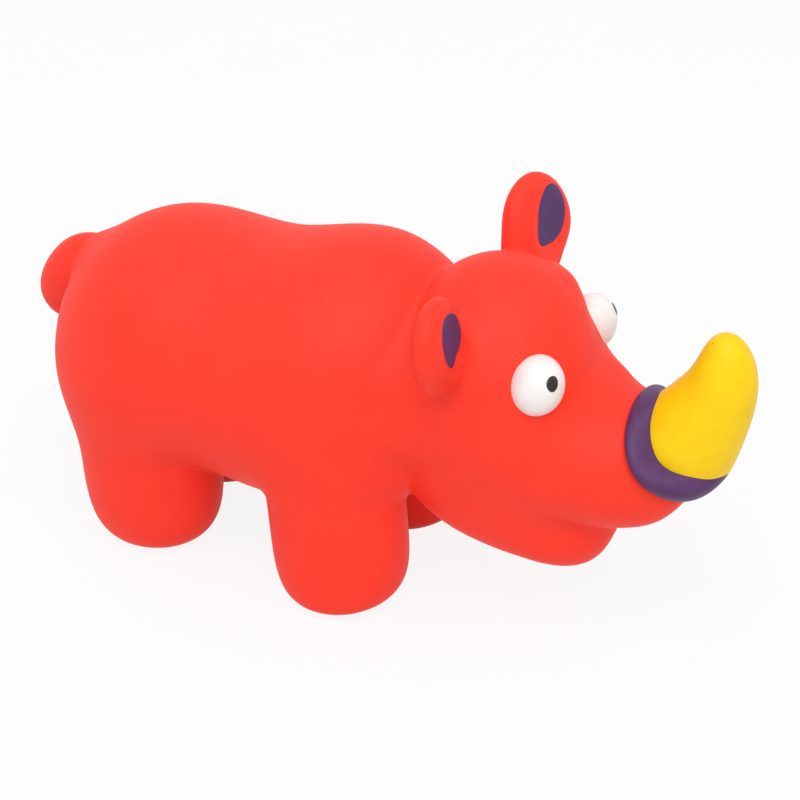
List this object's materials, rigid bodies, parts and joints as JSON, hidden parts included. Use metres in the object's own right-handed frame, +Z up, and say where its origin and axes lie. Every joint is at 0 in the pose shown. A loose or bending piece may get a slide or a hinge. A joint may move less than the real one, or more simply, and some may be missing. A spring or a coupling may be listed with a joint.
{
  "type": "squeaky dog toy",
  "caption": "Stuffed hollow latex rhinoceros dog toy with bending ears, tail and horn, flanks that give when squeezed, and a reed squeaker plugged into the belly.",
  "frame": {"origin": "middle of the toy's length and width, on the surface that its soles stand on", "axes": "+X towards the nose, +Y to the animal's left, +Z up"},
  "size_m": [0.1928, 0.0873, 0.0974],
  "materials": {
    "red_latex": "satin",
    "purple_paint": "satin",
    "yellow_paint": "satin",
    "white_paint": "gloss",
    "black_paint": "gloss",
    "fibre": "matte",
    "squeaker_plastic": "satin",
    "reed_film": "gloss"
  },
  "bodies": {
    "toy": {"torso_skin": "red_latex", "head_skin": "red_latex", "front_left_leg": "red_latex", "front_right_leg": "red_latex", "rear_left_leg": "red_latex", "rear_right_leg": "red_latex", "left_eye": "white_paint", "right_eye": "white_paint", "left_pupil": "black_paint", "right_pupil": "black_paint", "horn_collar": "purple_paint", "torso_filling": "fibre", "head_filling": "fibre", "squeaker_body": "squeaker_plastic", "squeaker_cap": "squeaker_plastic", "reed_seat": "squeaker_plastic", "reed_wedge": "squeaker_plastic"},
    "left_flank": {"left_flank_skin": "red_latex"},
    "right_flank": {"right_flank_skin": "red_latex"},
    "left_ear": {"left_ear": "red_latex", "left_ear_lining": "purple_paint"},
    "right_ear": {"right_ear": "red_latex", "right_ear_lining": "purple_paint"},
    "tail": {"tail": "red_latex"},
    "horn": {"horn": "yellow_paint"},
    "reed": {"reed": "reed_film"}
  },
  "joints": [
    {"name": "left_squeeze", "type": "slide", "parent": "toy", "child": "left_flank", "axis": [0, -1, 0], "range_m": [0, 0.009], "stiffness_N_per_m": 500, "deforming": ["torso_filling"]},
    {"name": "right_squeeze", "type": "slide", "parent": "toy", "child": "right_flank", "axis": [0, 1, 0], "range_m": [0, 0.009], "stiffness_N_per_m": 500},
    {"name": "left_ear_bend", "type": "hinge", "parent": "toy", "child": "left_ear", "pos_m": [0.0323, 0.02659, 0.07656], "axis": [0.3407, 0.7868, -0.5146], "range_deg": [-20, 20], "stiffness_Nm_per_rad": 0.05},
    {"name": "right_ear_bend", "type": "hinge", "parent": "toy", "child": "right_ear", "pos_m": [0.0326, -0.02622, 0.07518], "axis": [-0.1045, 0.8046, 0.5846], "range_deg": [-20, 20], "stiffness_Nm_per_rad": 0.05},
    {"name": "tail_lift", "type": "hinge", "parent": "toy", "child": "tail", "pos_m": [-0.0788, 0, 0.068], "axis": [0, 1, 0], "range_deg": [0, 25], "stiffness_Nm_per_rad": 0.05},
    {"name": "horn_bend", "type": "hinge", "parent": "toy", "child": "horn", "pos_m": [0.081, 0, 0.0513], "axis": [0, 1, 0], "range_deg": [-8, 8], "stiffness_Nm_per_rad": 0.12},
    {"name": "reed_flutter", "type": "hinge", "parent": "toy", "child": "reed", "pos_m": [-0.0256, 0, 0.0297], "axis": [1, 0, 0], "range_deg": [-4, 4], "stiffness_Nm_per_rad": 0.0015}
  ],
  "couplings": [
    {"joint": "right_squeeze", "follows": "left_squeeze", "ratio": 1}
  ]
}
